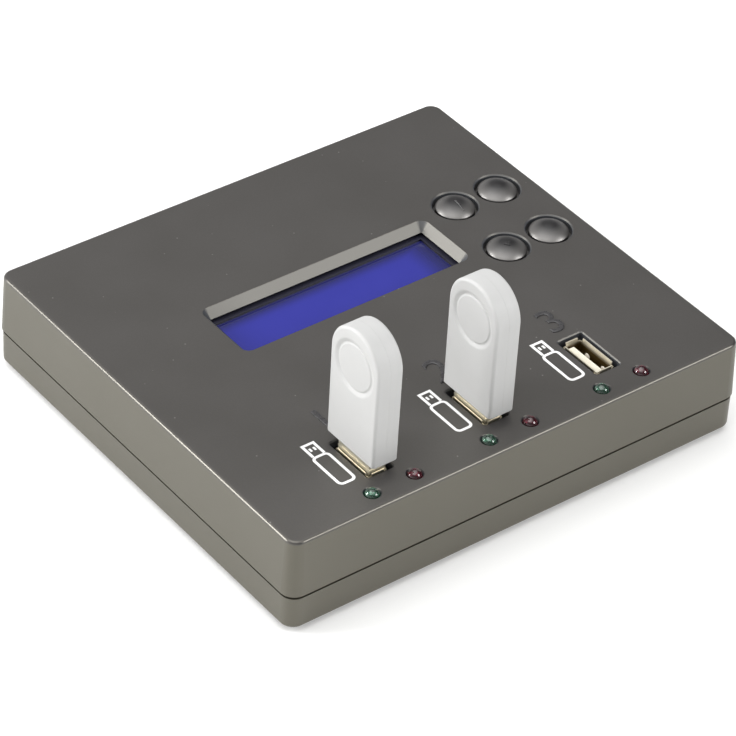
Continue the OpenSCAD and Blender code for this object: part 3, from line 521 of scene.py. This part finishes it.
print("display: %.1f by %.1f mm of view" % tuple(2 * v / MM for v in view_half.xy))

# %% [markdown]
# The signal lights are lamps cast in tinted clear resin. When they are off, the eye looks through
# the tint into a dark hole, and sees bright glints where the dome turns towards a soft box. So the
# resin lets nearly all light through, and a coat gives its polished skin the strong glints.

# %% Tinted resin of the lights
dye_width = 0.9


def tinted_resin(name, deep, pale):
    """A clear cast resin with a dye that clouds it a little."""
    material, tree, shader, place = start_finish(name)
    settle(shader, Roughness=0.02, IOR=1.50, Transmission_Weight=0.92, Coat_Weight=1.0, Coat_IOR=1.5)
    cloud = add_node(tree, "TexNoise", {"Vector": place, "Scale": per(dye_width), "Detail": 2.0})
    colour = add_node(tree, "Mix", {0: cloud.outputs["Fac"], 6: linear(deep), 7: linear(pale)},
                      data_type="RGBA")
    tree.links.new(colour.outputs[2], shader.inputs["Base Color"])
    print("finish:", name)
    return material


green_resin = tinted_resin("green_tinted_resin", "#3F8465", "#7DBB9D")
red_resin = tinted_resin("red_tinted_resin", "#78142A", "#A83A54")

# %% [markdown]
# Every piece of the frame already carries the name of its finish. So the finishes are listed once
# by that name, and one loop dresses all the pieces, inside ones too. Only the plugs of the sticks
# differ from the rest of the nickel, so they are dressed by name.

# %% Dress the frame
finishes = {
    "case_plastic": case_abs, "button_plastic": button_abs, "stick_plastic": stick_abs,
    "nickel_plate": socket_nickel_painted_shade, "contact_gold": gold, "screw_steel": zinc, "ivory_plastic": ivory,
    "bezel_black": lacquer, "chip_plastic": resin_black, "circuit_board": solder_mask,
    "foot_rubber": rubber, "display_glass": display, "light_green": green_resin,
    "light_red": red_resin,
}
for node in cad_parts.values():
    for material_slot in node.material_slots:
        material_slot.material = finishes[material_slot.material.name.split(".")[0]]
for body in ("stick_1", "stick_2"):
    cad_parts[body + "_plug_shell"].material_slots[0].material = plug_nickel
print("dressed:", len(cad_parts), "pieces in", len(finishes) + 1, "finishes")

# %% [markdown]
# Some pieces need softer shapes than the frame's. Each is modelled as a bmesh, which is a mesh that
# can still be cut and extruded, and then becomes an object. One helper does that last step for all:
# it shades the mesh smooth up to a crease, gives it a finish, and puts it on its body.

# %% Turn a bmesh into a piece
crease_angle = math.radians(32)


def make_piece(bm, name, body, material, stands_for=()):
    """Makes a smooth-shaded piece that rides on a body and stands for these nodes."""
    for face in bm.faces:
        face.smooth = True
    for edge in bm.edges:
        edge.smooth = edge.is_manifold and edge.calc_face_angle() < crease_angle
    mesh = bpy.data.meshes.new(name)
    bm.to_mesh(mesh)
    bm.free()
    mesh.materials.append(material)
    piece = bpy.data.objects.new(name, mesh)
    bpy.context.scene.collection.objects.link(piece)
    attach(piece, body)
    if stands_for:
        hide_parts(*stands_for)
    print("piece: %s, %d faces on %s" % (name, len(mesh.polygons), body))
    return piece


print("crease: over %.0f degrees" % math.degrees(crease_angle))

# %% [markdown]
# Each push cap is a turned shape: a shallow dome with a soft rim, a straight side, a flange that
# holds it under the deck, and a stem that presses the switch. A cylinder with a bevel would come
# close, but half of the section spun round the cap's axis gives dome and rim their own radius.

# %% Push caps
cap_radius = 5.25 * MM
cap_wall = 1.0 * MM
rim_radius = 0.5 * MM
dome_height = 2.3 * MM
stem_radius = 1.8 * MM
flange_below_top = 4.25 * MM
turn_steps = 96
dome_steps = 12
rim_steps = 10
merge_reach = 0.001 * MM
dome_radius = (cap_radius ** 2 + dome_height ** 2) / (2 * dome_height)
rim_lean = math.asin((cap_radius - rim_radius) / (dome_radius - rim_radius))


def swing(bm, vert, centre, angle, steps):
    """Draws an arc of a section from this point, turning about Y, and gives the arc's end."""
    arc = bmesh.ops.spin(bm, geom=[vert], cent=centre, axis=(0, 1, 0), angle=angle, steps=steps)
    return arc["geom_last"][0]


def draw_to(bm, vert, out, up):
    """Draws a straight line of a section from this point, and gives the line's end."""
    end = bmesh.ops.extrude_vert_indiv(bm, verts=[vert])["verts"][0]
    end.co = (out, 0, up)
    return end


def turn_section(bm, middle):
    """Spins a section drawn at the origin into a closed body, and moves it to its axis."""
    bmesh.ops.spin(bm, geom=bm.edges[:], cent=(0, 0, 0), axis=(0, 0, 1), angle=math.tau,
                   steps=turn_steps, use_merge=True)
    bmesh.ops.remove_doubles(bm, verts=bm.verts, dist=merge_reach)
    bmesh.ops.recalc_face_normals(bm, faces=bm.faces)
    bmesh.ops.translate(bm, verts=bm.verts, vec=(middle.x, middle.y, 0))


for place in ("back_left", "back_right", "front_left", "front_right"):
    low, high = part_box("button_cap_" + place)
    flange_radius = (high.x - low.x) / 2
    flange_top = high.z - flange_below_top
    dome_centre = Vector((0, 0, high.z - dome_radius))
    rim_way = Vector((math.sin(rim_lean), 0, math.cos(rim_lean)))
    rim_centre = dome_centre + (dome_radius - rim_radius) * rim_way
    inside_top = rim_centre.z - cap_wall
    inside_radius = cap_radius - cap_wall
    bm = bmesh.new()
    point = bm.verts.new((0, 0, high.z))
    point = swing(bm, point, dome_centre, rim_lean, dome_steps)
    point = swing(bm, point, rim_centre, math.pi / 2 - rim_lean, rim_steps)
    for out, up in ((cap_radius, flange_top), (flange_radius, flange_top),
                    (flange_radius, flange_top - cap_wall), (inside_radius, flange_top - cap_wall),
                    (inside_radius, inside_top), (stem_radius, inside_top), (stem_radius, low.z),
                    (0, low.z)):
        point = draw_to(bm, point, out, up)
    turn_section(bm, (low + high) / 2)
    make_piece(bm, "push_cap_" + place, "button_" + place, button_abs,
               ["button_cap_" + place])

# %% [markdown]
# Two caps carry a raised mark that a finger can feel: one a straight bar, the other a small arrow
# head. The marks could be cut into the dome, but a thin round bar swept along the dome and sunk to
# its middle has the same rounded ridge and leaves the dome's own faces clean.

# %% Marks on the caps
ridge_radius = 0.24 * MM
ridge_sides = 10
ridge_steps = 12
bar_length = 3.8 * MM
bar_place = (-0.2 * MM, -2.0 * MM)
arrow_turn = math.radians(40)
arrow_length = 1.5 * MM
arrow_shift = 0.6 * MM
arrow_place = (-0.4 * MM, -1.4 * MM)


def add_ridge(bm, turn, length, shift):
    """Adds a bar along the dome, shifted along itself, then turned about the dome's top."""
    before = set(bm.verts)
    ring = bmesh.ops.create_circle(bm, segments=ridge_sides, radius=ridge_radius,
                                   matrix=Matrix.Rotation(math.pi / 2, 4, "X"))["verts"]
    start = list({edge for vert in ring for edge in vert.link_edges})
    spread = length / dome_radius
    bmesh.ops.translate(bm, verts=ring, vec=(0, 0, dome_radius))
    bmesh.ops.rotate(bm, verts=ring, matrix=Matrix.Rotation(-spread / 2 - shift / dome_radius, 3, "X"))
    swept = bmesh.ops.spin(bm, geom=start, cent=(0, 0, 0), axis=(1, 0, 0), angle=spread,
                           steps=ridge_steps)
    end = [item for item in swept["geom_last"] if isinstance(item, bmesh.types.BMEdge)]
    bmesh.ops.edgeloop_fill(bm, edges=start)
    bmesh.ops.edgeloop_fill(bm, edges=end)
    bar = [vert for vert in bm.verts if vert not in before]
    bmesh.ops.rotate(bm, verts=bar, matrix=Matrix.Rotation(turn, 3, "Z"))


def make_mark(name, place, bars, offset):
    """Makes a mark of bars, each with its turn, length and shift, beside the dome's top."""
    low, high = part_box("button_cap_" + place)
    middle = (low + high) / 2
    bm = bmesh.new()
    for turn, length, shift in bars:
        add_ridge(bm, turn, length, shift)
    bmesh.ops.recalc_face_normals(bm, faces=bm.faces)
    lean_right = Matrix.Rotation(offset[0] / dome_radius, 3, "Y")
    lean_back = Matrix.Rotation(-offset[1] / dome_radius, 3, "X")
    bmesh.ops.rotate(bm, verts=bm.verts, matrix=lean_right @ lean_back)
    bmesh.ops.translate(bm, verts=bm.verts, vec=(middle.x, middle.y, high.z - dome_radius))
    make_piece(bm, name, "button_" + place, button_abs)


make_mark("bar_mark", "back_left", [(0, bar_length, 0)], bar_place)
make_mark("arrow_mark", "front_left", [(arrow_turn, arrow_length, arrow_shift),
                                       (-arrow_turn, arrow_length, arrow_shift)], arrow_place)

# %% [markdown]
# Springs in each socket hold the plug by small round tips, which show as pale dots in the free
# socket. Their colour is near white, a painted highlight, since little light reaches them down there.
# The frame has their dimples, which are shallow there because a plug presses them back, so the free
# ones get a fuller dome, turned from an arc like the caps.

# %% Spring tips in the free socket
tip_radius = 0.95 * MM
tip_reach = 0.45 * MM
tip_down = 3.9 * MM
tip_apart = 6.2 * MM
tip_wall = 2.56 * MM
tip_rings = 8
tip_steps = 32

low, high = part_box("socket_shell_3")
middle = (low + high) / 2
ball_radius = (tip_radius ** 2 + tip_reach ** 2) / (2 * tip_reach)
bm = bmesh.new()
for side in (-1, 1):
    before = set(bm.verts)
    point = bm.verts.new((0, 0, tip_reach))
    ball_centre = (0, 0, tip_reach - ball_radius)
    point = swing(bm, point, ball_centre, math.asin(tip_radius / ball_radius), tip_rings)
    draw_to(bm, point, 0, 0)
    section = [edge for edge in bm.edges if not edge.link_faces]
    bmesh.ops.spin(bm, geom=section, cent=(0, 0, 0), axis=(0, 0, 1), angle=math.tau, steps=tip_steps,
                   use_merge=True)
    tip = [vert for vert in bm.verts if vert not in before]
    bmesh.ops.rotate(bm, verts=tip, matrix=Matrix.Rotation(-math.pi / 2, 3, "Y"))
    tip_place = (middle.x + tip_wall, middle.y + side * tip_apart / 2, high.z - tip_down)
    bmesh.ops.translate(bm, verts=tip, vec=tip_place)
bmesh.ops.remove_doubles(bm, verts=bm.verts, dist=merge_reach)
bmesh.ops.recalc_face_normals(bm, faces=bm.faces)
# The tips take the near-white nickel, a painted highlight.
make_piece(bm, "spring_tips", "case", tip_nickel_painted_bright)

# %% [markdown]
# The body of a stick is two thin moulded shells that meet in a hairline down the middle. Each has
# straight sides, a round top and soft edges. It could be carved from a block, but the outline,
# extruded to half the thickness and then bevelled, gives the edges one even radius. The outline is
# drawn too long at the foot and cut off there, so that the bevel runs out straight.

# %% Outline and foot of a stick
foot_edge = 0.3 * MM
foot_segments = 3
foot_spare = 3 * MM
arch_steps = 64
plane_slack = 0.002 * MM


def on_plane(items, axis, place):
    """Picks the edges or faces whose corners all lie at this place along an axis."""
    return [item for item in items if all(abs(v.co[axis] - place) < plane_slack for v in item.verts)]


def soften(bm, edges, offset, segments):
    """Rounds edges with one even radius."""
    bmesh.ops.bevel(bm, geom=edges, offset=offset, segments=segments, profile=0.5, affect="EDGES",
                    material=-1)


def draw_outline(bm, parting, low, high):
    """Draws a stick's outline on its parting plane, a little too long at the foot, as one face."""
    radius = (high.y - low.y) / 2
    foot = bm.verts.new((parting, low.y, low.z - foot_spare))
    shoulder = bmesh.ops.extrude_vert_indiv(bm, verts=[foot])["verts"][0]
    shoulder.co.z = high.z - radius
    centre = (parting, (low.y + high.y) / 2, high.z - radius)
    arch = bmesh.ops.spin(bm, geom=[shoulder], cent=centre, axis=(-1, 0, 0), angle=math.pi,
                          steps=arch_steps)
    far_foot = bmesh.ops.extrude_vert_indiv(bm, verts=[arch["geom_last"][0]])["verts"][0]
    far_foot.co.z = foot.co.z
    bm.edges.new((far_foot, foot))
    return bmesh.ops.edgeloop_fill(bm, edges=bm.edges[:])["faces"][0]


def raise_face(bm, face, way):
    """Extrudes a face along X and gives the face that moved."""
    grown = bmesh.ops.extrude_face_region(bm, geom=[face])["geom"]
    corners = [item for item in grown if isinstance(item, bmesh.types.BMVert)]
    bmesh.ops.translate(bm, verts=corners, vec=(way, 0, 0))
    return [item for item in grown if isinstance(item, bmesh.types.BMFace)][0]


def close_foot(bm, parting, low):
    """Cuts the spare length off, closes the underside and rounds its edge."""
    everything = bm.verts[:] + bm.edges[:] + bm.faces[:]
    bmesh.ops.bisect_plane(bm, geom=everything, plane_co=(0, 0, low.z), plane_no=(0, 0, -1),
                           clear_outer=True)
    rim = on_plane(bm.edges, 2, low.z)
    rim_points = {vert for edge in rim for vert in edge.verts}
    ends = [vert for vert in rim_points if abs(vert.co.x - parting) < plane_slack]
    seam = bm.edges.new(ends)
    bmesh.ops.edgeloop_fill(bm, edges=rim + [seam])
    soften(bm, rim, foot_edge, foot_segments)


print("stick: foot rounded by %.1f mm" % (foot_edge / MM))

# %% [markdown]
# Each broad face of a stick has a dish for the thumb, with a low disc inside a round groove. It could
# be pressed in by moving points of a grid, but a section turned like a cap's gives slope, groove and
# disc their own radii. The face is then opened, and filled again up to the dish's outer circle.

# %% Thumb dish
dish_radius = 7.4 * MM
dish_slope = math.radians(30)
dish_soft = 1.5 * MM
groove_radius = 0.5 * MM
disc_level = 0.25 * MM
disc_lip = 0.35 * MM
disc_fall = math.radians(45)
edge_guard = 0.05 * MM
lip_steps = 4
groove_steps = 8
ease_steps = 6
dish_steps = 72

ease = dish_soft * math.tan(dish_slope / 2)
groove_out = (disc_lip + groove_radius) * math.sin(disc_fall)
groove_up = (disc_lip + groove_radius) * math.cos(disc_fall) - disc_lip - disc_level
slope_foot = groove_up - groove_radius * math.cos(dish_slope)
slope_start = dish_radius + slope_foot / math.tan(dish_slope)
disc_radius = slope_start - groove_radius * math.sin(dish_slope) - groove_out


def turn_dish(bm):
    """Turns a dish about Z with its rim at height zero, and gives the edges of its outer circle."""
    before = set(bm.edges)
    point = bm.verts.new((0, 0, -disc_level))
    point = draw_to(bm, point, disc_radius, -disc_level)
    lip_centre = (disc_radius, 0, -disc_level - disc_lip)
    point = swing(bm, point, lip_centre, disc_fall, lip_steps)
    groove_centre = (disc_radius + groove_out, 0, groove_up)
    point = swing(bm, point, groove_centre, -disc_fall - dish_slope, groove_steps)
    point = draw_to(bm, point, dish_radius - ease * math.cos(dish_slope), -ease * math.sin(dish_slope))
    swing(bm, point, (dish_radius + ease, 0, -dish_soft), dish_slope, ease_steps)
    section = [edge for edge in bm.edges if edge not in before]
    bmesh.ops.spin(bm, geom=section, cent=(0, 0, 0), axis=(0, 0, 1), angle=math.tau, steps=dish_steps,
                   use_merge=True)
    turned = {vert for edge in bm.edges if edge not in before for vert in edge.verts}
    bmesh.ops.remove_doubles(bm, verts=list(turned), dist=merge_reach)
    return [edge for edge in bm.edges if edge not in before and edge.is_boundary]


def open_dish(bm, face, side, centre):
    """Opens a flat face for a dish and closes the face around it."""
    bmesh.ops.inset_individual(bm, faces=[face], thickness=edge_guard, use_even_offset=True)
    border = list(face.edges)
    bmesh.ops.delete(bm, geom=[face], context="FACES_ONLY")
    before = set(bm.verts)
    circle = turn_dish(bm)
    dish = [vert for vert in bm.verts if vert not in before]
    bmesh.ops.rotate(bm, verts=dish, matrix=Matrix.Rotation(side * math.pi / 2, 3, "Y"))
    bmesh.ops.translate(bm, verts=dish, vec=centre)
    bmesh.ops.triangle_fill(bm, edges=border + circle, use_beauty=True)


print("dish: %.1f mm wide, with a disc of %.1f mm" % (2 * dish_radius / MM, 2 * disc_radius / MM))

# %% [markdown]
# A shell is the raised outline with its back left open, its foot closed and its broad face opened for
# the dish. Modelling the inside too would double the work, so a modifier gives the skin its wall.

# %% Stick shells
stick_edge = 0.8 * MM
stick_segments = 6
parting_gap = 0.01 * MM
dish_drop = 1.5 * MM
shell_wall = 1.2 * MM


def make_stick_shell(body, side_name, side):
    """Makes the shell on one side of a stick: -1 is the left one and 1 the right one."""
    node = "%s_%s_half" % (body, side_name)
    low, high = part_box(node)
    outer = high.x if side > 0 else low.x
    parting = (low.x if side > 0 else high.x) + side * parting_gap
    radius = (high.y - low.y) / 2
    dish_centre = Vector((outer, (low.y + high.y) / 2, high.z - radius - dish_drop))
    bm = bmesh.new()
    face = draw_outline(bm, parting, low, high)
    wall_end = outer - side * (stick_edge + edge_guard)
    face = raise_face(bm, face, wall_end - parting)
    face = raise_face(bm, face, outer - wall_end)
    inner_faces = on_plane(bm.faces, 0, parting) + on_plane(bm.faces, 0, wall_end)
    bmesh.ops.delete(bm, geom=inner_faces, context="FACES_ONLY")
    soften(bm, on_plane(bm.edges, 0, outer), stick_edge, stick_segments)
    close_foot(bm, parting, low)
    flat = max(on_plane(bm.faces, 0, outer), key=lambda face: face.calc_area())
    open_dish(bm, flat, side, dish_centre)
    bmesh.ops.recalc_face_normals(bm, faces=bm.faces)
    disc_face = max(on_plane(bm.faces, 0, outer - side * disc_level), key=lambda face: face.calc_area())
    if disc_face.normal.x * side < 0:
        bmesh.ops.reverse_faces(bm, faces=bm.faces)
    shell = make_piece(bm, "%s_%s_shell" % (body, side_name), body, stick_abs, [node])
    wall = shell.modifiers.new("wall", "SOLIDIFY")
    wall.thickness = shell_wall
    wall.offset = -1


for body in ("stick_1", "stick_2"):
    make_stick_shell(body, "left", -1)
    make_stick_shell(body, "right", 1)

# %% [markdown]
# A number stands behind each socket, moulded with the deck and only a little higher, and rubbed
# smooth, so its round edges glint. It could be drawn point by point, but the lettering tool has its
# outline, in units of the letters' size. The outline becomes a mesh before it is moved, so that its
# place ends up in the mesh as every other piece's does.

# %% Raised numbers
number_height = 8.8 * MM
number_rise = 0.36 * MM
number_behind = 15.0 * MM
number_weight = -0.018
number_extrude = 0.02
number_bevel = 0.025
number_bevel_steps = 2
number_merge = 0.0005

for number in ("1", "2", "3"):
    low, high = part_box("socket_shell_" + number)
    middle = (low + high) / 2
    lettering = bpy.data.curves.new("number_outline", "FONT")
    lettering.body = number
    lettering.offset = number_weight
    lettering.extrude = number_extrude
    lettering.bevel_depth = number_bevel
    lettering.bevel_resolution = number_bevel_steps
    outline = bpy.data.objects.new("number_outline", lettering)
    number_mesh = bpy.data.meshes.new_from_object(outline)
    bm = bmesh.new()
    bm.from_mesh(number_mesh)
    bmesh.ops.remove_doubles(bm, verts=bm.verts, dist=number_merge)
    lowest = Vector([min(v.co[i] for v in bm.verts) for i in range(3)])
    highest = Vector([max(v.co[i] for v in bm.verts) for i in range(3)])
    grow = number_height / (highest.y - lowest.y)
    thick = 2 * number_rise / (highest.z - lowest.z)
    bmesh.ops.translate(bm, verts=bm.verts, vec=-(lowest + highest) / 2)
    bmesh.ops.scale(bm, verts=bm.verts, vec=(grow, grow, thick))
    bmesh.ops.translate(bm, verts=bm.verts, vec=(middle.x, middle.y + number_behind, deck_top))
    make_piece(bm, "raised_number_" + number, "case", rubbed_abs)
    bpy.data.objects.remove(outline)

# %% [markdown]
# Beside each socket a small picture of a stick is pad-printed in white. An image could carry it, but
# shapes stay sharp at any zoom. So it is drawn from frames and squares: a square has its corners
# rounded by a bevel of its points, and an inset leaves a line of even width. A print is a skin of
# ink, so it gets two hundredths of a millimetre of thickness.

# %% Printed stick pictures
ink_rise = 0.02 * MM
ink_line = 0.75 * MM
picture_left = 8.45 * MM
picture_behind = -0.5 * MM
picture_body = Vector((5.2, 12.0, 0)) * MM
picture_plug = Vector((4.0, 5.6, 0)) * MM
picture_dot = Vector((0.6, 1.2, 0)) * MM
picture_corner = 1.5 * MM
corner_steps = 5
dot_aside = 0.6 * MM
dot_forward = 0.4 * MM


def add_square(bm, centre, size, round_off):
    """Adds a flat square of this size with rounded corners, and gives its face."""
    spread = Matrix.Translation(centre) @ Matrix.Diagonal((size.x, size.y, 1, 1))
    corners = bmesh.ops.create_grid(bm, x_segments=1, y_segments=1, size=0.5, matrix=spread)["verts"]
    if not round_off:
        return corners[0].link_faces[0]
    rounded = bmesh.ops.bevel(bm, geom=corners, offset=round_off, segments=corner_steps, profile=0.5,
                              affect="VERTICES", material=-1)["verts"]
    return rounded[0].link_faces[0]


def add_frame(bm, centre, size, round_off):
    """Adds the outline of a square, one ink line wide."""
    face = add_square(bm, centre, size, round_off)
    bmesh.ops.inset_individual(bm, faces=[face], thickness=ink_line, use_even_offset=True)
    bmesh.ops.delete(bm, geom=[face], context="FACES")


for number in ("1", "2", "3"):
    low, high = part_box("socket_shell_" + number)
    middle = (low + high) / 2
    centre = Vector((middle.x - picture_left, middle.y + picture_behind, deck_top))
    plug_centre = centre + Vector((0, (picture_body.y + picture_plug.y) / 2 - ink_line, 0))
    bm = bmesh.new()
    add_frame(bm, plug_centre, picture_plug, 0)
    bmesh.ops.bisect_plane(bm, geom=bm.verts[:] + bm.edges[:] + bm.faces[:], dist=merge_reach,
                           plane_co=centre + Vector((0, picture_body.y / 2, 0)), plane_no=(0, 1, 0),
                           clear_inner=True)
    for side in (-1, 1):
        add_square(bm, plug_centre + Vector((side * dot_aside, dot_forward, 0)), picture_dot, 0)
    add_frame(bm, centre, picture_body, picture_corner)
    bmesh.ops.solidify(bm, geom=bm.faces[:], thickness=-ink_rise)
    bmesh.ops.recalc_face_normals(bm, faces=bm.faces)
    make_piece(bm, "printed_stick_" + number, "case", ink)
